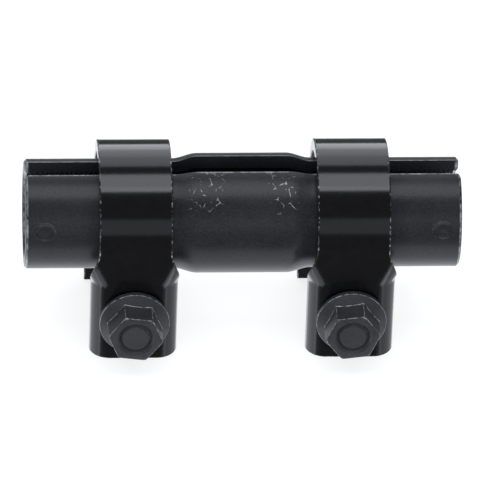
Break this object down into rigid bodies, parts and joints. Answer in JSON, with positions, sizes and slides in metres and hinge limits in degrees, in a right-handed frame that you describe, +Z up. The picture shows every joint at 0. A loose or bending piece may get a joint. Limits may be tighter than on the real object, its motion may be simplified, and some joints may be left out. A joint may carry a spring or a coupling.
{
  "type": "rigid sleeve coupling",
  "caption": "Split threaded adjusting sleeve that joins rods end to end, locked by U-shaped pinch clamps with bolts and flanged nuts.",
  "frame": {"origin": "centre of the footprint, on the surface that the clamp legs stand on", "axes": "+X along the sleeve towards its right-hand-threaded end, +Z up, nuts on the -Y side and bolt heads on the +Y side"},
  "size_m": [0.1354, 0.068, 0.0618],
  "materials": {
    "sleeve_steel": "satin dark phosphate",
    "clamp_enamel": "gloss black paint",
    "fastener_steel": "dark phosphate and oil"
  },
  "bodies": {
    "sleeve_body": {"sleeve": "sleeve_steel"},
    "left_clamp_body": {"left_clamp": "clamp_enamel"},
    "left_nut_body": {"left_nut": "fastener_steel"},
    "left_bolt_body": {"left_bolt": "fastener_steel"},
    "right_clamp_body": {"right_clamp": "clamp_enamel"},
    "right_nut_body": {"right_nut": "fastener_steel"},
    "right_bolt_body": {"right_bolt": "fastener_steel"}
  },
  "joints": [
    {"name": "left_clamp_turn", "type": "hinge", "parent": "sleeve_body", "child": "left_clamp_body", "pos_m": [-0.0338, 0, 0.0387], "axis": [1, 0, 0], "continuous": true},
    {"name": "left_nut_spin", "type": "hinge", "parent": "left_clamp_body", "child": "left_nut_body", "pos_m": [-0.0338, -0.03, 0.0143], "axis": [0, -1, 0], "range_deg": [0, 1800]},
    {"name": "left_bolt_draw", "type": "slide", "parent": "left_clamp_body", "child": "left_bolt_body", "axis": [0, 1, 0], "range_m": [0, 0.0075]},
    {"name": "right_clamp_turn", "type": "hinge", "parent": "sleeve_body", "child": "right_clamp_body", "pos_m": [0.0338, 0, 0.0387], "axis": [1, 0, 0], "continuous": true},
    {"name": "right_nut_spin", "type": "hinge", "parent": "right_clamp_body", "child": "right_nut_body", "pos_m": [0.0338, -0.03, 0.0143], "axis": [0, -1, 0], "range_deg": [0, 1800]},
    {"name": "right_bolt_draw", "type": "slide", "parent": "right_clamp_body", "child": "right_bolt_body", "axis": [0, 1, 0], "range_m": [0, 0.0075]}
  ],
  "couplings": [
    {"joint": "left_nut_spin", "follows": "left_bolt_draw", "rad_per_m": 4188.8},
    {"joint": "right_nut_spin", "follows": "right_bolt_draw", "rad_per_m": 4188.8}
  ]
}
